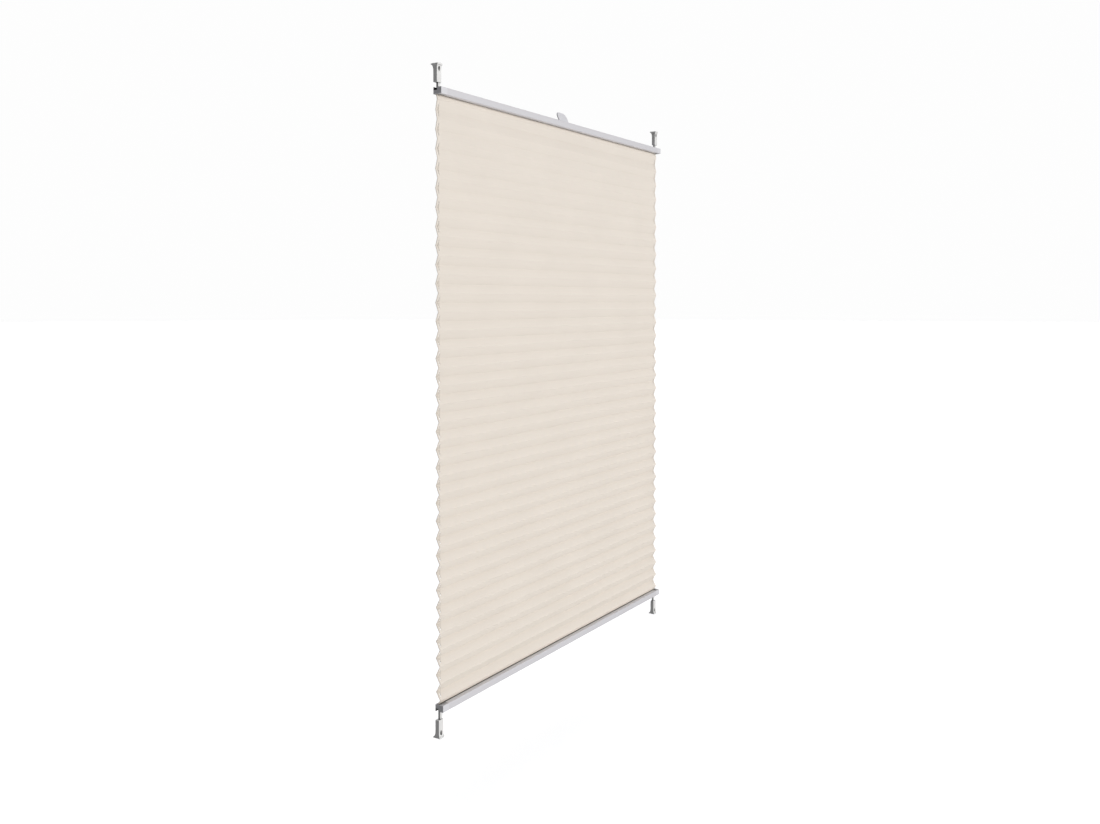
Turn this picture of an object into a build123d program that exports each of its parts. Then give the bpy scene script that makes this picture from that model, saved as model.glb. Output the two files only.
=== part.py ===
"""Cord-tensioned pleated blind for a window rebate: two slim aluminium rails, a pleated cloth between them,
two tight cords and four spring-loaded tension shoes. Millimetres, +Z up, the room side is -Y."""

from build123d import *
from math import hypot, sqrt
import os

# Overall sizes. Y = 0 is the plane of the cords, and Z = 0 is half-way between the rails.
blind_w = 1000.0  # over the end caps
blind_h = 1250.0  # over both rails, with the cloth drawn right out

# Rail: one aluminium extrusion, used the other way up at the bottom
rail_h = 14.0
rail_front = -14.5  # room-side face
rail_back = 5.5  # window-side face
rail_wall = 1.0
rail_edge_r = 1.2  # long edges on the room side
rail_back_r = 2.2  # long edges on the window side
rib_y = -9.0  # window-side face of the rib between the front hollow and the cord chamber
groove_gap = 0.35  # above the sleeve, in the groove that holds the cloth's edge strip
mouth_front = -4.2  # room-side lip of the groove's mouth
lip = 1.7  # window-side lip, in from the wall

# Pleated cloth
cloth_t = 0.3
leg = 20.0  # cloth between two folds
open_share = 0.915  # height that a leg takes when the blind is drawn out, as a share of the leg
rise_spread = 0.075  # the upper pleats hang further open than the mean, the lower ones less
cloth_inset = 2.0  # from the end of the rail to the edge of the cloth
punch_w = 2.2  # punched slot for the cord, across the blind
punch_len = 7.0  # and along the leg
hem_end_y = -1.4  # where the sleeve round the edge strip ends

# Edge strip inside the sleeve that the cloth forms at each rail
strip_t = 1.6
strip_side_gap = 0.75  # from the strip's edge to the side of the groove
strip_inset = 0.5  # shorter than the cloth at each end
slip = 0.15  # gap between cloth, strip and groove
strip_hole_d = 4.0

# Cords
cord_d = 0.9
cord_inset = 9.5  # from the end of the rail to the cord
cross_gap = 0.5  # between an upright cord and the crossing stretch beside it
turn_gap = 0.6  # between a crossing cord's turned end and the shoe's tongue
guide_share = 0.7  # rounding of a crossing cord's turn, as a share of the turned end
knot_d = 2.0

# End caps
cap_len = 20.0
cap_wall = 1.2  # closing wall at the end
cap_edge_r = 0.8
plug_len = 14.0
plug_gap = 0.15
notch_depth = 6.0  # recess in the cap's outer end where the shoe's tongue docks
notch_room = 2.0  # in front of the tongue and behind it
notch_gap = 0.5  # at the tongue's inner side
tunnel_gap = 0.55  # beside the crossing cords, on their way through cap and plug
tunnel_h = 3.2
cord_slot_gap = 0.95  # each side of the upright cord

# Tension shoes
cord_offset = 2.0  # from the middle of the column to the cord, towards the blind's middle
tongue_w = 7.0
tongue_front = -2.4
tongue_back = 2.4
tongue_dock = 2.0  # length of tongue inside the cap's notch
tongue_len = 10.0  # from the rail's outer face to the column, when the shoe sits close
bottom_pull = 8.0  # how much further out the bottom shoes sit, on longer tongues
column_w = 14.0
column_front = -3.4
column_back = 5.5
flare_gap = 1.5  # from the spring pocket to where the column starts to flare
foot_t = 3.4
foot_w = 16.0
foot_front = -6.0
foot_back = 11.0
foot_corner_share = 0.85  # of the foot's thickness
tongue_bore_gap = 0.35  # round the cord
pocket_w = 4.8  # spring pocket, open towards the window
pocket_front = -2.3
pocket_floor = 3.0  # plastic that the spring pushes on
knot_room = 1.1  # beyond the knot, in the pocket
screw_room = 18.5  # from the pocket to the foot's flat face
screw_d = 3.4
screw_head_d = 6.4
screw_seat = 6.5  # plastic under the screw's head, along the screw
screw_foot_y = 4.0  # where the screw leaves the foot
screw_slope = 0.667  # travel towards the room for each millimetre towards the rail

# Spring and stopper in each shoe
spring_d = 3.9
spring_wire = 0.5
spring_turns = 6
spring_len = 10.6
seat_gap = 0.1
stopper_d = 4.0
stopper_len = 2.6
stopper_bore_gap = 0.1

# Grip on the top rail
grip_w = 43.0
grip_rise = 25.5
grip_t = 2.4
grip_y = 0.5  # middle of its root
grip_lean = 11.0  # how far its top stands back towards the window
grip_corner_r = 13.0
grip_plate_w = 46.0
grip_plate_d = 7.0
grip_plate_t = 1.2
grip_plate_r = 2.0
grip_leg_w = 7.0
grip_leg_t = 2.0
grip_leg_x = 13.0
grip_leg_len = 2.2  # below the rail's outer wall
grip_barb = 0.6
grip_slot_gap = 0.1

# Worked out from the sizes above
cloth_drop = blind_h - 2 * rail_h
cloth_w = blind_w - 2 * cloth_inset
cord_x = blind_w / 2 - cord_inset
rail_len = blind_w - 2 * cap_len
inner_front = rail_front + rail_wall
inner_back = rail_back - rail_wall
mouth_back = inner_back - lip
strip_front = rib_y + strip_side_gap
strip_back = inner_back - strip_side_gap
channel_h = strip_t + 2 * cloth_t + 3 * slip + groove_gap
chamber_v = 2 * rail_wall + channel_h
chamber_top = rail_h - rail_wall
cross_v = (chamber_v + chamber_top) / 2
cross_y = cord_d + cross_gap
cross_turn = rail_h - tongue_dock - turn_gap - cross_v
guide_r = guide_share * cross_turn
tunnel_w = 2 * (cross_y + tunnel_gap) + cord_d
cord_slot_len = cord_d + 2 * cord_slot_gap
notch_len = cord_inset + tongue_w / 2 + notch_gap
notch_w = tongue_back - tongue_front + 2 * notch_room
hem_low = rail_wall + slip + cloth_t / 2
strip_low = hem_low + cloth_t / 2 + slip
hem_high = strip_low + strip_t + slip + cloth_t / 2
shoe_inset = cord_inset - cord_offset
spring_start = pocket_floor + seat_gap
stopper_start = spring_start + spring_len + seat_gap
stopper_end = stopper_start + stopper_len
pocket_end = stopper_end + knot_d + knot_room
flare_start = pocket_end + flare_gap
shoe_len = pocket_end + screw_room
foot_corner_r = foot_corner_share * foot_t
pieces = {}


def height(way, v):
    """Z of a point v above the cloth-side face of the top rail (way +1) or below the bottom rail's (-1)."""
    return way * (cloth_drop / 2 + v)


def beyond(way, u):
    """Z of a point at the distance u outside the outer face of that rail."""
    return way * (blind_h / 2 + u)


def standoff(way):
    """Distance from the rail's outer face to the near end of its shoes' columns."""
    return tongue_len if way == 1 else tongue_len + bottom_pull


def along(way, t):
    """Z of a point at the distance t from the near end of a shoe's column, towards its foot."""
    return beyond(way, standoff(way) + t)


def block(side, way, x, y, v, mode=Mode.ADD):
    """A box between two distances x from the blind's middle, two depths y and two heights v of a rail."""
    middle = (side * (x[0] + x[1]) / 2, (y[0] + y[1]) / 2, height(way, (v[0] + v[1]) / 2))
    with Locations(middle):
        Box(x[1] - x[0], y[1] - y[0], v[1] - v[0], mode=mode)


def hollow(way, y, v):
    """Takes a rectangle between two depths y and two heights v out of a rail's section."""
    with Locations(((y[0] + y[1]) / 2, height(way, (v[0] + v[1]) / 2))):
        Rectangle(y[1] - y[0], v[1] - v[0], mode=Mode.SUBTRACT)


def rail_outline(way):
    """The rail's outer rectangle with its long edges rounded, more so towards the window."""
    with Locations(((rail_front + rail_back) / 2, height(way, rail_h / 2))):
        outline = Rectangle(rail_back - rail_front, rail_h)
    room_side, window_side = outline.vertices().group_by(Axis.X)
    fillet(room_side, rail_edge_r)
    fillet(window_side, rail_back_r)


# Rails, edge strips, crossing cords
for rail_name, way in (("top", 1), ("bottom", -1)):
    with BuildPart() as rail:
        with BuildSketch(Plane.YZ.offset(-rail_len / 2)):
            rail_outline(way)
            hollow(way, (inner_front, rib_y - rail_wall), (rail_wall, chamber_top))
            hollow(way, (rib_y, inner_back), (chamber_v, chamber_top))
            hollow(way, (rib_y, inner_back), (rail_wall, rail_wall + channel_h))
            hollow(way, (mouth_front, mouth_back), (0, rail_wall))
        extrude(amount=rail_len)
        if way == 1:
            leg_slot = grip_leg_t + 2 * grip_slot_gap
            for side in (-1, 1):
                half_slot = grip_leg_w / 2 + grip_slot_gap
                edges = (grip_leg_x - half_slot, grip_leg_x + half_slot)
                depth = (grip_y - leg_slot / 2, grip_y + leg_slot / 2)
                block(side, way, edges, depth, (chamber_top, rail_h), Mode.SUBTRACT)
    pieces[f"{rail_name}_rail"] = rail.part

    with BuildPart() as strip:
        strip_x = cloth_w / 2 - strip_inset
        block(1, way, (-strip_x, strip_x), (strip_front, strip_back), (strip_low, strip_low + strip_t))
        with Locations(*[(side * cord_x, 0, height(way, strip_low + strip_t / 2)) for side in (-1, 1)]):
            Cylinder(strip_hole_d / 2, 2 * strip_t, mode=Mode.SUBTRACT)
    pieces[f"{rail_name}_cloth_strip"] = strip.part

    with BuildPart() as crossing:
        for turn in (-1, 1):
            y = turn * cross_y
            corners = [
                (-turn * cord_x, y, height(way, cross_v + cross_turn)),
                (-turn * cord_x, y, height(way, cross_v)),
                (turn * cord_x, y, height(way, cross_v)),
                (turn * cord_x, y, height(way, cross_v - cross_turn)),
            ]
            with BuildLine() as route:
                FilletPolyline(*corners, radius=guide_r)
            with BuildSketch(Plane(origin=route.wire() @ 0, z_dir=route.wire() % 0)):
                Circle(cord_d / 2)
            sweep(path=route.wire())
    pieces[f"{rail_name}_crossing_cords"] = crossing.part

# End caps
for rail_name, way in (("top", 1), ("bottom", -1)):
    for side_name, side in (("left", -1), ("right", 1)):
        end, inner = blind_w / 2, blind_w / 2 - cap_len
        plug = (inner - plug_len, inner)
        with BuildPart() as cap:
            with BuildSketch(Plane.YZ.offset(side * inner)):
                rail_outline(way)
            extrude(amount=side * cap_len)
            fillet(cap.faces().sort_by(Axis.X)[0 if side < 0 else -1].edges(), cap_edge_r)
            low, high = chamber_v + plug_gap, chamber_top - plug_gap
            block(side, way, plug, (rib_y + plug_gap, inner_back - plug_gap), (low, high))
            front_hollow = (inner_front + plug_gap, rib_y - rail_wall - plug_gap)
            block(side, way, plug, front_hollow, (rail_wall + plug_gap, high))
            groove = (inner, end - cap_wall)
            block(side, way, groove, (rib_y, inner_back), (rail_wall, rail_wall + channel_h), Mode.SUBTRACT)
            block(side, way, groove, (mouth_front, mouth_back), (0, rail_wall), Mode.SUBTRACT)
            notch = (rail_h - notch_depth, rail_h)
            block(side, way, (end - notch_len, end), (-notch_w / 2, notch_w / 2), notch, Mode.SUBTRACT)
            through = (inner - plug_len, cord_x + cord_slot_len / 2)
            across = (-tunnel_w / 2, tunnel_w / 2)
            block(side, way, through, across, (cross_v - tunnel_h / 2, cross_v + tunnel_h / 2), Mode.SUBTRACT)
            slot = (cord_x - cord_slot_len / 2, cord_x + cord_slot_len / 2)
            block(side, way, slot, across, (0, rail_h), Mode.SUBTRACT)
        pieces[f"{rail_name}_{side_name}_cap"] = cap.part

# Pleated cloth. Its side view is one line of equal legs, closed at each rail by a sleeve round the edge strip
full_legs = 2 * round(cloth_drop / (2 * open_share * leg) - 0.5)
mean_rise = cloth_drop / (full_legs + 1)


def leg_rise(k):
    """Height that leg k takes, falling evenly from the top of the blind to the bottom."""
    return mean_rise * (1 + rise_spread * (1 - 2 * k / (full_legs - 1)))


def leg_depth(k):
    """Depth that leg k takes, from its length along the cloth."""
    return sqrt(leg**2 - leg_rise(k) ** 2)


def sleeve(way, slope):
    """The cloth's end: out of the groove's mouth, once round the edge strip and back under it."""
    back, front = strip_back + slip + cloth_t / 2, strip_front - slip - cloth_t / 2
    low, high = height(way, hem_low), height(way, hem_high)
    return [(slope * hem_low, low), (back, low), (back, high), (front, high), (front, low), (hem_end_y, low)]


folds = [(-leg_depth(0) / 2, cloth_drop / 2 - leg_rise(0) / 2)]
for k in range(full_legs):
    y, z = folds[-1]
    folds.append((y + leg_depth(k) * (1 if k % 2 == 0 else -1), z - leg_rise(k)))
top_slope = leg_depth(0) / leg_rise(0)
bottom_slope = -folds[-1][0] / (folds[-1][1] + cloth_drop / 2)
cloth_line = sleeve(1, top_slope)[::-1] + folds + sleeve(-1, bottom_slope)


def band(line, thickness):
    """Outline of a folded sheet: the line moved half a thickness to each side, with mitred corners."""
    sides = ([], [])
    for i, (y, z) in enumerate(line):
        before = line[max(i - 1, 0)]
        after = line[min(i + 1, len(line) - 1)]
        start = (y - before[0], z - before[1]) if i else (after[0] - y, after[1] - z)
        stop = (after[0] - y, after[1] - z) if i < len(line) - 1 else start
        a, b = hypot(*start), hypot(*stop)
        one, two = (-start[1] / a, start[0] / a), (-stop[1] / b, stop[0] / b)
        reach = thickness / 2 / (1 + one[0] * two[0] + one[1] * two[1])
        move = ((one[0] + two[0]) * reach, (one[1] + two[1]) * reach)
        sides[0].append((y + move[0], z + move[1]))
        sides[1].append((y - move[0], z - move[1]))
    return sides[0] + sides[1][::-1]


def punched_holes():
    """Planes square to the legs where the upright cords pass them."""
    ends = [(0, cloth_drop / 2)] + folds + [(0, -cloth_drop / 2)]
    for (y0, z0), (y1, z1) in zip(ends[:-1], ends[1:]):
        share = y0 / (y0 - y1) if y0 != 0 else 0
        for side in (-1, 1):
            centre = (side * cord_x, 0, z0 + (z1 - z0) * share)
            yield Plane(origin=centre, x_dir=(1, 0, 0), z_dir=(0, z0 - z1, y1 - y0))


with BuildPart() as cloth:
    with BuildSketch(Plane.YZ.offset(-cloth_w / 2)):
        with BuildLine():
            Polyline(*band(cloth_line, cloth_t), close=True)
        make_face()
    extrude(amount=cloth_w)
    with BuildSketch(*punched_holes()):
        SlotOverall(punch_len, punch_w, rotation=90)
    extrude(amount=2 * cloth_t, both=True, mode=Mode.SUBTRACT)
    sleeve_holes = [(s * cord_x, 0, height(way, strip_low + strip_t / 2)) for s in (-1, 1) for way in (-1, 1)]
    with Locations(*sleeve_holes):
        Cylinder(strip_hole_d / 2, 2 * channel_h, mode=Mode.SUBTRACT)
pieces["pleated_cloth"] = cloth.part

# Upright cords, each from knot to knot
for side_name, side in (("left", -1), ("right", 1)):
    low_knot, high_knot = (along(way, stopper_end + knot_d / 2) for way in (-1, 1))
    with BuildPart() as cord:
        with Locations((side * cord_x, 0, (low_knot + high_knot) / 2)):
            Cylinder(cord_d / 2, high_knot - low_knot)
        with Locations((side * cord_x, 0, low_knot), (side * cord_x, 0, high_knot)):
            Sphere(knot_d / 2)
    pieces[f"{side_name}_cord"] = cord.part

# Tension shoes with their springs and stoppers
for end_name, way in (("top", 1), ("bottom", -1)):
    for side_name, side in (("left", -1), ("right", 1)):
        shoe_x = side * (blind_w / 2 - shoe_inset)
        foot_start = shoe_len - foot_t
        with BuildPart() as shoe:
            with BuildSketch(Plane.YZ.offset(shoe_x - foot_w)):
                with BuildLine():
                    Bezier(
                        (column_front, along(way, flare_start)),
                        (column_front, along(way, foot_start)),
                        (foot_front, along(way, foot_start)),
                    )
                    Polyline(
                        (foot_front, along(way, foot_start)),
                        (foot_front, along(way, shoe_len)),
                        (foot_back, along(way, shoe_len)),
                        (foot_back, along(way, foot_start)),
                    )
                    Bezier(
                        (foot_back, along(way, foot_start)),
                        (column_back, along(way, foot_start)),
                        (column_back, along(way, flare_start)),
                    )
                    Polyline(
                        (column_back, along(way, flare_start)),
                        (column_back, along(way, 0)),
                        (column_front, along(way, 0)),
                        (column_front, along(way, flare_start)),
                    )
                make_face()
            extrude(amount=2 * foot_w)
            with BuildSketch(Plane.XZ.offset(-2 * foot_back)):
                with BuildLine():
                    for hand in (-1, 1):
                        Polyline(
                            (shoe_x, along(way, 0)),
                            (shoe_x + hand * column_w / 2, along(way, 0)),
                            (shoe_x + hand * column_w / 2, along(way, flare_start)),
                        )
                        Bezier(
                            (shoe_x + hand * column_w / 2, along(way, flare_start)),
                            (shoe_x + hand * column_w / 2, along(way, shoe_len - 2 * foot_t)),
                            (shoe_x + hand * foot_w / 2, along(way, foot_start)),
                        )
                        FilletPolyline(
                            (shoe_x + hand * foot_w / 2, along(way, foot_start)),
                            (shoe_x + hand * foot_w / 2, along(way, shoe_len)),
                            (shoe_x, along(way, shoe_len)),
                            radius=foot_corner_r,
                        )
                make_face()
            extrude(amount=4 * foot_back, mode=Mode.INTERSECT)
            tongue = standoff(way) + tongue_dock
            with Locations((side * cord_x, (tongue_front + tongue_back) / 2, along(way, -tongue / 2))):
                Box(tongue_w, tongue_back - tongue_front, tongue)
            pocket_y = (pocket_front + column_back) / 2
            with Locations((side * cord_x, pocket_y, along(way, (pocket_floor + pocket_end) / 2))):
                Box(pocket_w, column_back - pocket_front, pocket_end - pocket_floor, mode=Mode.SUBTRACT)
            with Locations((side * cord_x, 0, along(way, (pocket_floor - tongue) / 2))):
                Cylinder(cord_d / 2 + tongue_bore_gap, pocket_floor + tongue, mode=Mode.SUBTRACT)
            screw_foot = Vector(shoe_x, screw_foot_y, along(way, shoe_len))
            screw_line = Vector(0, -screw_slope, -way).normalized()
            with Locations(Plane(origin=screw_foot, z_dir=screw_line)):
                Cylinder(screw_d / 2, 4 * screw_seat, mode=Mode.SUBTRACT)
            with Locations(Plane(origin=screw_foot + screw_line * screw_seat, z_dir=screw_line)):
                seat_side = (Align.CENTER, Align.CENTER, Align.MIN)
                Cylinder(screw_head_d / 2, 2 * screw_seat, align=seat_side, mode=Mode.SUBTRACT)
        pieces[f"{end_name}_{side_name}_shoe"] = shoe.part

        with BuildPart() as spring:
            coil_r = (spring_d - spring_wire) / 2
            run = spring_len - spring_wire
            lowest = min(along(way, spring_start), along(way, spring_start + spring_len))
            with BuildLine(Plane(origin=(side * cord_x, 0, lowest + spring_wire / 2))) as coil:
                Helix(run / spring_turns, run, coil_r)
            with BuildSketch(Plane(origin=coil.wire() @ 0, z_dir=coil.wire() % 0)):
                Circle(spring_wire / 2)
            sweep(path=coil.wire(), is_frenet=True)
        pieces[f"{end_name}_{side_name}_spring"] = spring.part

        with BuildPart() as stopper:
            with Locations((side * cord_x, 0, along(way, (stopper_start + stopper_end) / 2))):
                Cylinder(stopper_d / 2, stopper_len)
                Cylinder(cord_d / 2 + stopper_bore_gap, stopper_len, mode=Mode.SUBTRACT)
        pieces[f"{end_name}_{side_name}_cord_stopper"] = stopper.part

# Grip: a leaning blade on a plate, snapped into the outer wall of the top rail
with BuildPart() as grip:
    root = beyond(1, grip_plate_t)
    with BuildSketch(Plane.YZ.offset(-grip_w / 2)):
        with BuildLine():
            Polyline(
                (grip_y - grip_t / 2, root),
                (grip_y + grip_t / 2, root),
                (grip_y + grip_t / 2 + grip_lean, beyond(1, grip_rise)),
                (grip_y - grip_t / 2 + grip_lean, beyond(1, grip_rise)),
                close=True,
            )
        make_face()
    extrude(amount=grip_w)
    with BuildSketch(Plane.XZ.offset(-grip_y - 2 * grip_lean)):
        with Locations((0, (root + beyond(1, grip_rise)) / 2)):
            blade = Rectangle(grip_w, grip_rise - grip_plate_t)
        fillet(blade.vertices().group_by(Axis.Y)[-1], grip_corner_r)
    extrude(amount=4 * grip_lean, mode=Mode.INTERSECT)
    with Locations((0, grip_y, beyond(1, grip_plate_t / 2))):
        Box(grip_plate_w, grip_plate_d, grip_plate_t)
    fillet(grip.edges().filter_by(Axis.Z), grip_plate_r)
    leg_top, leg_tip = rail_h, chamber_top - grip_leg_len
    for side in (-1, 1):
        wide = (grip_leg_x - grip_leg_w / 2, grip_leg_x + grip_leg_w / 2)
        block(side, 1, wide, (grip_y - grip_leg_t / 2, grip_y + grip_leg_t / 2), (leg_tip, leg_top))
        barb_out = grip_y - grip_leg_t / 2 - grip_barb
        block(side, 1, wide, (barb_out, grip_y), (leg_tip, chamber_top - seat_gap))
pieces["grip"] = grip.part

os.makedirs("parts", exist_ok=True)
for name, piece in pieces.items():
    piece.label = name
    export_step(piece, f"parts/{name}.step")
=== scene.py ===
"""Cord-tensioned pleated blind: the finished look of its rails, fittings, cords and cloth, in metres."""

import math

import bpy
import numpy as np
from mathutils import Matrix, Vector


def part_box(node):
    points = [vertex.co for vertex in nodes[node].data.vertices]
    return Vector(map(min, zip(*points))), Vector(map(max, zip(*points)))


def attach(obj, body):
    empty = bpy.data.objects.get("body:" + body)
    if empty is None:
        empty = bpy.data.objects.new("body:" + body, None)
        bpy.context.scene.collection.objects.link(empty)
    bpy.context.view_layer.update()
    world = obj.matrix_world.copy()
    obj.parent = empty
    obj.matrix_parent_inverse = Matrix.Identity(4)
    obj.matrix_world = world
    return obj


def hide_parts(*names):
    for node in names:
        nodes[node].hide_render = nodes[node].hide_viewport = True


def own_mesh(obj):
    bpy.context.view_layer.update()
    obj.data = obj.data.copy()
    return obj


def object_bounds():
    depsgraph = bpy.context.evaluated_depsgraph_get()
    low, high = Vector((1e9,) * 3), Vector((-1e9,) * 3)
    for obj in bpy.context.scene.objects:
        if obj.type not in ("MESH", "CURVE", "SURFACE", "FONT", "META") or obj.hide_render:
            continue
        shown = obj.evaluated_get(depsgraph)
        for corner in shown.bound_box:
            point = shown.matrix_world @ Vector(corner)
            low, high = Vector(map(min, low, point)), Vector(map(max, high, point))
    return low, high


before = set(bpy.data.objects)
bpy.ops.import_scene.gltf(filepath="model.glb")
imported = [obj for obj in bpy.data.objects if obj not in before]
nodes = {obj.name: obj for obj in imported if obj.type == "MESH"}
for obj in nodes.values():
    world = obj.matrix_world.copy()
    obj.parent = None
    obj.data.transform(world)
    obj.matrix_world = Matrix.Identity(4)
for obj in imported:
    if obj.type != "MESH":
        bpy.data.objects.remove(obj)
cad_low, cad_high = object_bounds()

# Camera: a slightly wide lens, a little over two metres from the blind's near end and at two thirds of its
# height, so far round to the left that the cloth is seen at a slant and the ends of the rails face it.
camera_place = (-2.1575, -1.2814, 0.2018)
camera_turn = 0.5497  # about Z, from +X
camera_drop = 0.03  # how far it looks down
camera = bpy.data.objects.new("camera", bpy.data.cameras.new("camera"))
camera.location = camera_place
camera.rotation_euler = (math.pi / 2 - camera_drop, 0, camera_turn - math.pi / 2)
camera.data.sensor_width = 36
camera.data.lens = 34.24
camera.data.shift_y = -0.0725
bpy.context.scene.collection.objects.link(camera)
bpy.context.scene.camera = camera
bpy.context.scene.view_settings.view_transform = "Standard"

# Upright cords: off-white braided polyester, 0.9 mm thick and tight, one straight line each side from a knot
# in the top shoe to a knot in the bottom shoe. The functions that every section uses come first.
cord_d = 0.0009
cord_points = 7  # from knot to knot
knot_cord = 0.00036  # radius of the cord in the knot, pulled tight
knot_points, knot_sides = 48, 8  # along the knotted cord and round it


def linear(code):
    """The linear colour of an sRGB hex value: ((c + 0.055) / 1.055) ** 2.4 for a part c above 0.04045, and
    c / 12.92 below."""
    c = np.array([int(code[i:i + 2], 16) / 255 for i in (1, 3, 5)])
    return (*np.where(c > 0.04045, ((c + 0.055) / 1.055) ** 2.4, c / 12.92), 1.0)


def new_material(name, **constants):
    """A material of that name, with constants set on the sockets of its shader, where _ stands for a space."""
    made = bpy.data.materials.new(name)
    made.use_nodes = True
    shader = made.node_tree.nodes["Principled BSDF"]
    for socket, value in constants.items():
        shader.inputs[socket.replace("_", " ")].default_value = value
    return made, made.node_tree, shader


def add(tree, kind, values=None, links=None, **settings):
    """Adds a node with its settings, the values of some inputs, and links into others."""
    made = tree.nodes.new(kind)
    for name, value in settings.items():
        setattr(made, name, value)
    for socket, value in (values or {}).items():
        made.inputs[socket].default_value = value
    for socket, source in (links or {}).items():
        tree.links.new(source, made.inputs[socket])
    return made


def tint(tree, shader, share, dark, light, painted_shade_reach=0.0):
    """Base colour: a ramp from the dark tone at share 0 to the light one at 1. With a reach, shade is painted
    into the colour: it is multiplied by o ** power, with o the open share of the sky within that reach."""
    power = 2.2  # how strongly the painted shade darkens recesses
    ramp = add(tree, "ShaderNodeValToRGB", {}, {"Fac": share})
    for stop, code in zip(ramp.color_ramp.elements, (dark, light)):
        stop.color = linear(code)
    colour = ramp.outputs["Color"]
    # painted shade: the colour darkens where little sky is open, in recesses and between parts
    if painted_shade_reach:
        open_sky = add(tree, "ShaderNodeAmbientOcclusion", {"Distance": painted_shade_reach}, samples=8).outputs["AO"]
        painted_shade = add(tree, "ShaderNodeMath", {1: power}, {0: open_sky}, operation="POWER").outputs[0]
        painted_shaded_colour = add(tree, "ShaderNodeVectorMath", {}, {"Vector": colour, "Scale": painted_shade}, operation="SCALE")
        colour = painted_shaded_colour.outputs["Vector"]
    tree.links.new(colour, shader.inputs["Base Color"])


def roughen(tree, shader, height, strength, depth, edge_r=0.0):
    """Relief of that depth in metres, on a surface whose edges look rounded by edge_r."""
    links = {"Height": height}
    if edge_r:
        links["Normal"] = add(tree, "ShaderNodeBevel", {"Radius": edge_r}, samples=4).outputs["Normal"]
    relief = add(tree, "ShaderNodeBump", {"Strength": strength, "Distance": depth}, links)
    tree.links.new(relief.outputs["Normal"], shader.inputs["Normal"])


def mesh_piece(name, points, faces, body, made):
    """A smooth mesh piece that rides on a body and takes the material it is given."""
    mesh = bpy.data.meshes.new(name)
    mesh.from_pydata(points.tolist(), [], faces.tolist())
    mesh.shade_smooth()
    mesh.materials.append(made)
    piece = bpy.data.objects.new(name, mesh)
    bpy.context.scene.collection.objects.link(piece)
    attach(piece, body)
    return piece


def tube(path, radius, sides):
    """Points and faces of a closed tube: p(i, a) = c(i) + radius (n(i) cos a + b(i) sin a), with n and b square
    to the direction of travel t(i), which is the central difference of the path c. n points away from the
    middle of the path, as far as it can."""
    ahead = np.roll(path, -1, 0) - np.roll(path, 1, 0)
    ahead /= np.linalg.norm(ahead, axis=1, keepdims=True)
    side = path - path.mean(0)
    side -= (side * ahead).sum(1, keepdims=True) * ahead
    side /= np.linalg.norm(side, axis=1, keepdims=True)
    other = np.cross(ahead, side)
    turn = np.linspace(0, 2 * np.pi, sides, endpoint=False)[None, :, None]
    points = path[:, None] + radius * (side[:, None] * np.cos(turn) + other[:, None] * np.sin(turn))
    i, j = np.meshgrid(np.arange(len(path)), np.arange(sides), indexing="ij")
    i2, j2 = (i + 1) % len(path), (j + 1) % sides
    faces = np.stack([i * sides + j, i2 * sides + j, i2 * sides + j2, i * sides + j2], -1)
    return points.reshape(-1, 3), faces.reshape(-1, 4)


# Braided polyester: the strands cross every 0.8 mm, which shows as a fine herringbone of light and shade, and
# light soaks through so thin a cord. A wave texture of scale s repeats every pi / (10 s) metres.
braid_pitch = 0.0008
braid, tree, shader = new_material(
    "braided_polyester_cord", Roughness=0.75, Sheen_Weight=0.15, Subsurface_Weight=0.4,
    Subsurface_Radius=(1.0, 1.0, 1.0), Subsurface_Scale=0.0006,
)
place = add(tree, "ShaderNodeTexCoord").outputs["Object"]
bands = {"Scale": math.pi / 10 / braid_pitch, "Distortion": 0.6, "Detail": 1.0}
strands = add(tree, "ShaderNodeTexWave", bands, {"Vector": place}, bands_direction="DIAGONAL")
fibre = add(tree, "ShaderNodeTexNoise", {"Scale": 2500.0, "Detail": 2.0}, {"Vector": place})
both = add(tree, "ShaderNodeMath", {}, {0: strands.outputs["Fac"], 1: fibre.outputs["Fac"]},
           operation="MULTIPLY")
tint(tree, shader, both.outputs[0], "#D3CCC1", "#EAE4DA")
roughen(tree, shader, both.outputs[0], 0.5, 0.0001)

for side_name in ("left", "right"):
    low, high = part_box(f"{side_name}_cord")
    cord_x = (low.x + high.x) / 2
    knot_r = (high.x - low.x) / 2
    line = bpy.data.curves.new(f"{side_name}_upright_cord", "CURVE")
    line.dimensions = "3D"
    line.bevel_depth = cord_d / 2
    line.bevel_resolution = 3
    line.use_fill_caps = True
    spline = line.splines.new("NURBS")
    heights = np.linspace(high.z - knot_r, low.z + knot_r, cord_points)
    spline.points.add(len(heights) - 1)
    for point, z in zip(spline.points, heights):
        point.co = (cord_x, 0, z, 1)
    spline.order_u = 3
    spline.use_endpoint_u = True
    line.materials.append(braid)
    cord = bpy.data.objects.new(line.name, line)
    bpy.context.scene.collection.objects.link(cord)
    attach(cord, "fittings")
    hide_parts(f"{side_name}_cord")

    # Knot at each end: a trefoil (sin t + 2 sin 2t, cos t - 2 cos 2t, -1.6 sin 3t), which reaches 3 from its
    # middle, scaled to the cord's box.
    for end_name, z in (("top", heights[0]), ("bottom", heights[-1])):
        t = np.linspace(0, 2 * np.pi, knot_points, endpoint=False)
        across = np.sin(t) + 2 * np.sin(2 * t), np.cos(t) - 2 * np.cos(2 * t)
        trefoil = np.stack([*across, -1.6 * np.sin(3 * t)], 1) * ((knot_r - knot_cord) / 3)
        points, faces = tube(trefoil + (cord_x, 0, z), knot_cord, knot_sides)
        mesh_piece(f"{side_name}_{end_name}_knot", points, faces, "fittings", braid)

# Rails: two aluminium extrusions, cut to length and powder-coated pale grey. Their outside is plain, and the
# groove in the face towards the cloth holds the cloth's edge strip.
powder, tree, shader = new_material("powder_coated_aluminium", Roughness=0.42, IOR=1.5)
place = add(tree, "ShaderNodeTexCoord").outputs["Object"]
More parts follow.
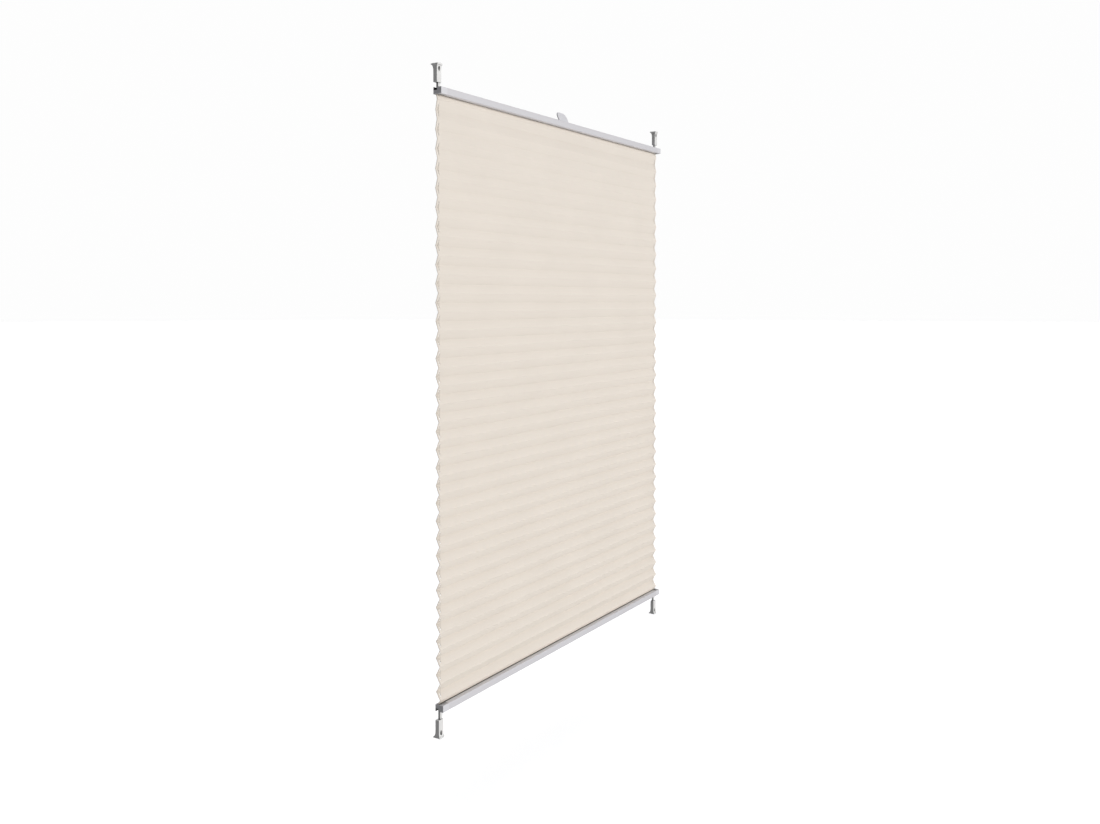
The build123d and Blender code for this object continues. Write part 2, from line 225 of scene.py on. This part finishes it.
# Powder coat: grains flow together to a skin like orange peel, whose dimples lie about 0.7 mm apart.
peel = add(tree, "ShaderNodeTexNoise", {"Scale": 1400.0, "Detail": 3.0, "Roughness": 0.55}, {"Vector": place})
cloudy = add(tree, "ShaderNodeTexNoise", {"Scale": 9.0, "Detail": 4.0}, {"Vector": place})
tint(tree, shader, cloudy.outputs["Fac"], "#C9C7CA", "#D0CED1")
roughen(tree, shader, peel.outputs["Fac"], 0.25, 0.00005)
matt = add(tree, "ShaderNodeMapRange", {"To Min": 0.38, "To Max": 0.48}, {"Value": peel.outputs["Fac"]})
tree.links.new(matt.outputs["Result"], shader.inputs["Roughness"])


def finish_nodes(names, made):
    """Puts a material on CAD nodes."""
    for name in names:
        nodes[name].data.materials.clear()
        nodes[name].data.materials.append(made)


finish_nodes(["top_rail", "bottom_rail"], powder)

# End caps, tension shoes, grip and cord stoppers: injection-moulded plastic in the rails' pale grey, with the
# small rounding that a mould leaves on every edge. The strips in the sleeves are extruded.
moulded_edge_r = 0.0004


def moulded(name, dark, light, grain, rough, painted_shade_reach):
    """Moulded plastic: a spark-eroded mould leaves a fine even grain, which softens the highlights. Shade is
    painted darker into its recesses, out to the reach given.
    """
    made, tree, shader = new_material(name, Roughness=rough, IOR=1.48)
    place = add(tree, "ShaderNodeTexCoord").outputs["Object"]
    spark = add(tree, "ShaderNodeTexNoise", {"Scale": 1 / grain, "Detail": 2.0}, {"Vector": place})
    flow = add(tree, "ShaderNodeTexNoise", {"Scale": 60.0, "Detail": 3.0}, {"Vector": place})
    tint(tree, shader, flow.outputs["Fac"], dark, light, painted_shade_reach)
    roughen(tree, shader, spark.outputs["Fac"], 0.3, 0.00003, moulded_edge_r)
    return made


# The last value is how far the painted shade in recesses reaches: far for the caps' deep notches, short
# elsewhere.
cap_plastic = moulded("moulded_abs_end_cap", "#CFCED1", "#D6D5D8", 0.0003, 0.48, 0.02)
shoe_plastic = moulded("moulded_acetal_shoe", "#DEDDDB", "#E6E5E3", 0.0004, 0.4, 0.004)
grip_plastic = moulded("moulded_abs_grip", "#CDCCCF", "#D4D3D6", 0.0003, 0.45, 0.004)
strip_plastic = moulded("extruded_strip", "#E4E3DE", "#EBEAE6", 0.0006, 0.3, 0.002)
ends = [f"{end}_{side}" for end in ("top", "bottom") for side in ("left", "right")]
finish_nodes([f"{end}_cap" for end in ends], cap_plastic)
finish_nodes([f"{end}_shoe" for end in ends], shoe_plastic)
finish_nodes([f"{end}_cord_stopper" for end in ends], shoe_plastic)
finish_nodes(["grip"], grip_plastic)
finish_nodes(["top_cloth_strip", "bottom_cloth_strip"], strip_plastic)
finish_nodes(["top_crossing_cords", "bottom_crossing_cords"], braid)

# Springs: drawn steel wire wound to 3.9 mm, bright with fine lines along the wire.
wire, tree, shader = new_material("drawn_spring_steel", Metallic=1.0, Roughness=0.32)
place = add(tree, "ShaderNodeTexCoord").outputs["Object"]
drawn = add(tree, "ShaderNodeTexNoise", {"Scale": 3000.0, "Detail": 2.0}, {"Vector": place})
tint(tree, shader, drawn.outputs["Fac"], "#A8A9AC", "#C6C7CA")
finish_nodes([f"{end}_spring" for end in ends], wire)

# Pleated cloth: one sheet of cream polyester, woven fine, creased by heat every 20 mm and punched in every leg
# for the cords. At each rail its end is sewn round the edge strip as a sleeve.
cloth_t = 0.0003
leg = 0.020  # cloth between two creases
open_share = 0.915  # height of a leg as a share of its length, when the blind is drawn out
rise_spread = 0.075  # the upper pleats hang further open, the lower ones less
crease_w = 0.0016  # cloth that bends at a crease
relax = 0.035  # how far a leg leaves a straight line near its creases, as a share of its depth
leg_punch = (0.0011, 0.0035)  # half the width and half the length of the slot for the cord
sleeve_punch = (0.002, 0.002)  # the same in the sleeve, round the strip's hole
punch_zone = 0.0042  # half of the square round a hole that its rings of faces fill
punch_points = 5  # on one side of that square
cloth_columns = 61  # from edge to edge, besides those at the cords
digits = 7  # decimals of a metre to which flat points are rounded, so that shared ones merge
ring_shares = (0, 0.45, 1)  # where the rings lie, from the slot's edge to the square
waver_y, waver_z = 0.00022, 0.0003  # how far the creases stray
wave_range = (4, 30)  # radians to the metre of the slow waves by which they stray
wave_weight = 0.6  # spread of the waves' weights
stray = np.random.default_rng(11)

rail_low, rail_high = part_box("top_rail")[0].z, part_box("bottom_rail")[1].z
cloth_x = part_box("pleated_cloth")[1].x
drop = rail_low - rail_high
legs = 2 * round(drop / (2 * open_share * leg) - 0.5)
k = np.arange(legs)
rise = drop / (legs + 1) * (1 + rise_spread * (1 - 2 * k / (legs - 1)))
depth = np.sqrt(leg**2 - rise**2)
crease_y = -depth[0] / 2 + np.append(0, np.cumsum(np.where(k % 2 == 0, depth, -depth)))
crease_z = rail_low - rise[0] / 2 - np.append(0, np.cumsum(rise))
middle = int(np.argmin(abs(crease_z)))  # the crease where the upper and the lower half meet

# Sleeve: the line of the cloth seen from the side, from its cut edge under the strip, round the strip and down
# through the groove's mouth. Y is the depth of the blind, and V is how far the line is into the rail.
strip_low, strip_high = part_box("top_cloth_strip")
hem_gap = 0.00015
hem_low = strip_low.z - hem_gap - cloth_t / 2 - rail_low
hem_high = strip_high.z + hem_gap + cloth_t / 2 - rail_low
hem_back, hem_front = strip_high.y + hem_gap + cloth_t / 2, strip_low.y - hem_gap - cloth_t / 2
hem_end = -0.0026  # Y of the cut edge
slopes = (-crease_y[0] / (rail_low - crease_z[0]), -crease_y[-1] / (crease_z[-1] - rail_high))
sleeve_y = [np.array([hem_end, hem_front, hem_front, hem_back, hem_back, slope * hem_low, 0])
            for slope in slopes]
sleeve_v = np.array([hem_low, hem_low, hem_high, hem_high, hem_low, hem_low, 0])
line_y = np.concatenate([sleeve_y[0], crease_y, sleeve_y[1][::-1]])
line_z = np.concatenate([rail_low + sleeve_v, crease_z, rail_high - sleeve_v[::-1]])
run = np.append(0, np.cumsum(np.hypot(np.diff(line_y), np.diff(line_z))))
first = len(sleeve_v)  # the first crease's place in the line
run -= run[first - 1]  # zero at the mouth of the top groove

# Each crease strays in Y and in Z by three slow waves along the blind, except that the first, the middle and
# the last keep their height.
waves = stray.uniform(*wave_range, (len(line_y), 3))
starts = stray.uniform(0, 2 * np.pi, (2, len(line_y), 3))
weights = np.zeros((2, len(line_y), 3))
weights[:, first:first + legs + 1] = stray.normal(0, wave_weight, (2, legs + 1, 3))
weights[1, [first, first + middle, first + legs]] = 0


def folded(x, s):
    """Place of the flat cloth's point (x, s). Between two corners P0 and P1 of the side view it is
    P0 + t (P1 - P0), with t the share of s between them, plus relax sin(2 pi t) (y1 - y0) in Y on a leg. A
    corner is rounded by (u1 - u0) (w / 2 - d) ** 2 / (2 w) at a distance d < w / 2 from it, with w the width of
    the crease and u0 and u1 the directions before and after it. A crease moves by the sum of its waves at x."""
    strayed = [w * (weights[i] * np.sin(waves * x[:, None, None] + starts[i])).sum(2)
               for i, w in enumerate((waver_y, waver_z))]
    ys, zs = line_y + strayed[0], line_z + strayed[1]
    row = np.arange(len(x))
    i = np.clip(np.searchsorted(run, s, side="right") - 1, 0, len(run) - 2)
    t = (s - run[i]) / (run[i + 1] - run[i])
    pleat = (i >= first) & (i < first + legs)
    y = ys[row, i] * (1 - t) + ys[row, i + 1] * t
    y += np.where(pleat, relax * np.sin(2 * np.pi * t) * (ys[row, i + 1] - ys[row, i]), 0)
    z = zs[row, i] * (1 - t) + zs[row, i + 1] * t
    corner = np.clip(np.where(t < 0.5, i, i + 1), 1, len(run) - 2)
    width = np.minimum(crease_w, np.minimum(run[corner + 1] - run[corner], run[corner] - run[corner - 1]))
    bend = np.maximum(0, width / 2 - abs(s - run[corner])) ** 2 / (2 * width)
    for along, line in ((y, ys), (z, zs)):
        after = (line[row, corner + 1] - line[row, corner]) / (run[corner + 1] - run[corner])
        before = (line[row, corner] - line[row, corner - 1]) / (run[corner] - run[corner - 1])
        along += (after - before) * bend
    return np.stack([x, y, z], 1)


def punched(columns, rows, holes, sizes):
    """Flat cloth as points (x, s) and faces: a grid of the columns and rows, in which the square of half-width
    punch_zone round each hole is filled by rings. Ring w of a hole at c has its points on c + (1 - w) r + w q,
    where q goes round the square and r is the slot's nearest point to q: for a slot of half-width a and
    half-length b it is m + a (q - m) / |q - m|, with m = (0, q_s held within b - a of the middle)."""
    x, s = np.meshgrid(columns, rows, indexing="ij")
    grid = np.stack([x, s], -1)
    quads = np.stack([grid[:-1, :-1], grid[:-1, 1:], grid[1:, 1:], grid[1:, :-1]], 2)
    middle_x = (columns[1:] + columns[:-1]) / 2
    middle_s = (rows[1:] + rows[:-1]) / 2
    in_x = (abs(middle_x[:, None] - holes[0]) < punch_zone).any(1)
    in_s = (abs(middle_s[:, None] - holes[1]) < punch_zone).any(1)
    quads = quads[~(in_x[:, None] & in_s[None, :])]
    edge = np.linspace(-1, 1, punch_points)[:-1]
    one = np.ones_like(edge)
    sides = (edge, -one), (one, edge), (-edge, one), (-one, -edge)
    square = np.concatenate([np.stack(side, 1) for side in sides]) * punch_zone
    share = np.array(ring_shares)[:, None, None]
    centres = np.stack(np.meshgrid(holes[0], holes[1], indexing="ij"), -1).reshape(-1, 1, 1, 2)
    half_w, half_l = np.tile(sizes, (len(holes[0]), 1)).T[:, :, None, None]
    middle = np.clip(square * (0, 1), half_w - half_l, half_l - half_w)
    outward = square - middle
    slot = middle + half_w * outward / np.linalg.norm(outward, axis=2, keepdims=True)
    rings = centres + (1 - share) * slot[:, None] + share * square
    turned = np.roll(rings, -1, 2)
    patch = np.stack([rings[:, :-1], turned[:, :-1], turned[:, 1:], rings[:, 1:]], 3).reshape(-1, 4, 2)
    corners = np.concatenate([quads.reshape(-1, 4, 2), patch]).reshape(-1, 2)
    key, index = np.unique(np.round(corners, digits), axis=0, return_inverse=True)
    return key, index.reshape(-1, 4)


def cloth_piece(name, top, bottom, holes, sizes, rows, body):
    """A part of the sheet between two distances along it, thickened to the cloth and laid flat on a UV map. The
    grid's own rows and columns keep clear of the squares round the holes, which bring theirs."""
    clear_rows, clear_columns = 1.02 * punch_zone, 1.5 * punch_zone
    around = np.linspace(-punch_zone, punch_zone, punch_points)
    rows = rows[(abs(rows[:, None] - holes[1]) > clear_rows).all(1)]
    rows = np.concatenate([rows, *[around + h for h in holes[1]]])
    slack = 10**-digits
    rows = np.unique(np.round(rows[(rows > top - slack) & (rows < bottom + slack)], digits))
    columns = np.linspace(-cloth_x, cloth_x, cloth_columns)
    columns = columns[(abs(columns[:, None] - holes[0]) > clear_columns).all(1)]
    columns = np.unique(np.round(np.concatenate([columns, *[h + around for h in holes[0]]]), digits))
    flat, faces = punched(columns, rows, holes, sizes)
    piece = mesh_piece(name, folded(flat[:, 0], flat[:, 1]), faces, body, polyester)
    uv = piece.data.uv_layers.new(name="flat_cloth")
    uv.data.foreach_set("uv", flat[faces.ravel()].ravel().astype(np.float32))
    wall = piece.modifiers.new("cloth_thickness", "SOLIDIFY")
    wall.thickness, wall.offset = cloth_t, 0
    return piece


# Woven polyester: weft and warp 0.3 mm apart, drawn at 0.9 mm so that the weave shows, with threads of uneven
# thickness. Cream, dull, with the soft bloom of fine fibre at a slant.
thread = 0.0009
polyester, tree, shader = new_material(
    "woven_polyester_cream", Roughness=0.88, Sheen_Weight=0.12, Sheen_Roughness=0.5,
)
flat_place = add(tree, "ShaderNodeUVMap", uv_map="flat_cloth").outputs["UV"]
bands = {"Scale": math.pi / 10 / thread, "Distortion": 0.4}
weft = add(tree, "ShaderNodeTexWave", bands, {"Vector": flat_place}, bands_direction="Y")
warp = add(tree, "ShaderNodeTexWave", bands, {"Vector": flat_place}, bands_direction="X")
weave = add(tree, "ShaderNodeMath", {}, {0: weft.outputs["Fac"], 1: warp.outputs["Fac"]}, operation="ADD")
# Thick and thin threads make streaks some 70 mm long and 1 mm wide, and the dye lies in patches of 140 mm.
stretch = add(tree, "ShaderNodeMapping", {"Scale": (14.0, 900.0, 1.0)}, {"Vector": flat_place})
slub = add(tree, "ShaderNodeTexNoise", {"Scale": 1.0, "Detail": 3.0}, {"Vector": stretch.outputs["Vector"]})
patch = add(tree, "ShaderNodeTexNoise", {"Scale": 7.0, "Detail": 3.0}, {"Vector": flat_place})
uneven = add(tree, "ShaderNodeMath", {}, {0: slub.outputs["Fac"], 1: patch.outputs["Fac"]}, operation="ADD")
share = add(tree, "ShaderNodeMapRange", {"From Min": 0.6, "From Max": 1.4}, {"Value": uneven.outputs[0]})
tint(tree, shader, share.outputs["Result"], "#E1D8CD", "#E6DDD2")
roughen(tree, shader, weave.outputs[0], 0.25, 0.0001)

cord_line = (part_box("right_cord")[0].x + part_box("right_cord")[1].x) / 2
hole_x = np.array([-cord_line, cord_line])
creases = run[first:first + legs + 1]
near = np.array([0, 0.00025, 0.0005, 0.0008, 0.0014, 0.0028, 0.0046])  # from a crease to the rows beside it
leg_rows = np.unique(np.concatenate([(creases[:, None] + near).ravel(), (creases[:, None] - near).ravel()]))
leg_holes = (creases[1:] + creases[:-1]) / 2
upper_holes, lower_holes = leg_holes[:middle], leg_holes[middle:]
upper = cloth_piece("cloth_upper", creases[0], creases[middle], (hole_x, upper_holes),
                    [leg_punch] * len(upper_holes), leg_rows, "fittings")
lower = cloth_piece("cloth_lower", creases[middle], creases[-1], (hole_x, lower_holes),
                    [leg_punch] * len(lower_holes), leg_rows, "fittings")
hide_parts("pleated_cloth")
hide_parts("pleated_cloth")

# The hem at each rail runs from the outermost crease through the groove's mouth and round the strip. The cords
# cross it twice: in the mouth, and where the sleeve goes over the strip.
hem_rows = 60
for rail_name, start, end, corners, mouth, over_strip in (
    ("top", run[0], creases[0], run[:first], run[first - 1], run[3] - hem_back),
    ("bottom", creases[-1], run[-1], run[-first:], run[-first], run[-4] + hem_back),
):
    rows = np.concatenate([corners, np.linspace(corners[0], corners[-1], hem_rows), [start, end],
                           creases[0] - near, creases[-1] + near])
    holes = np.sort(np.array([mouth, over_strip]))
    sizes = [leg_punch if hole == mouth else sleeve_punch for hole in holes]
    cloth_piece(f"{rail_name}_hem", start, end, (hole_x, holes), sizes, rows, f"{rail_name}_rail")
for piece, joint_name, end in (
    (upper, "top_rail_slide", crease_z[0]),
    (lower, "bottom_rail_slide", crease_z[-1]),
):
    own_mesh(piece)

# Stage: a pale floor below the blind, which glows like a light table but lights nothing, a white surround, and
# two broad soft lights: one from the room's side and the right, nearly level, and a weaker one for the back.
floor_drop = 0.25  # below the lower shoes
floor_r = 60.0
floor_sides = 64
turn = np.linspace(0, 2 * np.pi, floor_sides, endpoint=False)
floor_z = np.full(floor_sides, cad_low.z - floor_drop)
ring = np.stack([floor_r * np.cos(turn), floor_r * np.sin(turn), floor_z], 1)
floor_mesh = bpy.data.meshes.new("floor")
floor_mesh.from_pydata(ring.tolist(), [], [list(range(floor_sides))])
floor = bpy.data.objects.new("floor", floor_mesh)
bpy.context.scene.collection.objects.link(floor)
light_table, _, _ = new_material(
    "matt_white_light_table", Roughness=0.9, Base_Color=(0.9, 0.9, 0.9, 1),
    Emission_Color=(1, 1, 1, 1), Emission_Strength=0.28,
)
floor_mesh.materials.append(light_table)
floor.visible_diffuse = floor.visible_glossy = floor.visible_shadow = False

# Surround: plain white to the camera. It lights the blind with sides + poles |z| ** power, z being the height
# of the direction, so that most of its light comes from above and below.
sides, poles, power = 0.12, 2.6, 8
surround = bpy.data.worlds.new("surround")
surround.use_nodes = True
bpy.context.scene.world = surround
tree = surround.node_tree
tree.nodes.clear()
seen = add(tree, "ShaderNodeBackground", {"Color": (0.985, 0.985, 0.985, 1), "Strength": 1.0})
direction = add(tree, "ShaderNodeTexCoord").outputs["Generated"]
level = add(tree, "ShaderNodeSeparateXYZ", {}, {"Vector": direction}).outputs["Z"]
for operation, value in (("ABSOLUTE", 0), ("POWER", power), ("MULTIPLY", poles), ("ADD", sides)):
    level = add(tree, "ShaderNodeMath", {1: value}, {0: level}, operation=operation).outputs[0]
lights = add(tree, "ShaderNodeBackground", {"Color": (0.97, 0.98, 1.0, 1)}, {"Strength": level})
ray = add(tree, "ShaderNodeLightPath")
mixed = add(tree, "ShaderNodeMixShader", {}, {0: ray.outputs["Is Camera Ray"], 1: lights.outputs[0],
                                              2: seen.outputs[0]})
add(tree, "ShaderNodeOutputWorld", {}, {0: mixed.outputs[0]})

# Each light's power in watts to the square metre, its width in radians, and its height and turn in degrees
for light_name, energy, spread, height, round_z in (
    ("key_light", 2.75, 0.7, 2, 25),
    ("back_light", 2.2, 0.7, 14, 155),
):
    lamp = bpy.data.objects.new(light_name, bpy.data.lights.new(light_name, "SUN"))
    lamp.data.energy, lamp.data.angle = energy, spread
    lamp.rotation_euler = (math.radians(90 - height), 0, math.radians(round_z))
    bpy.context.scene.collection.objects.link(lamp)
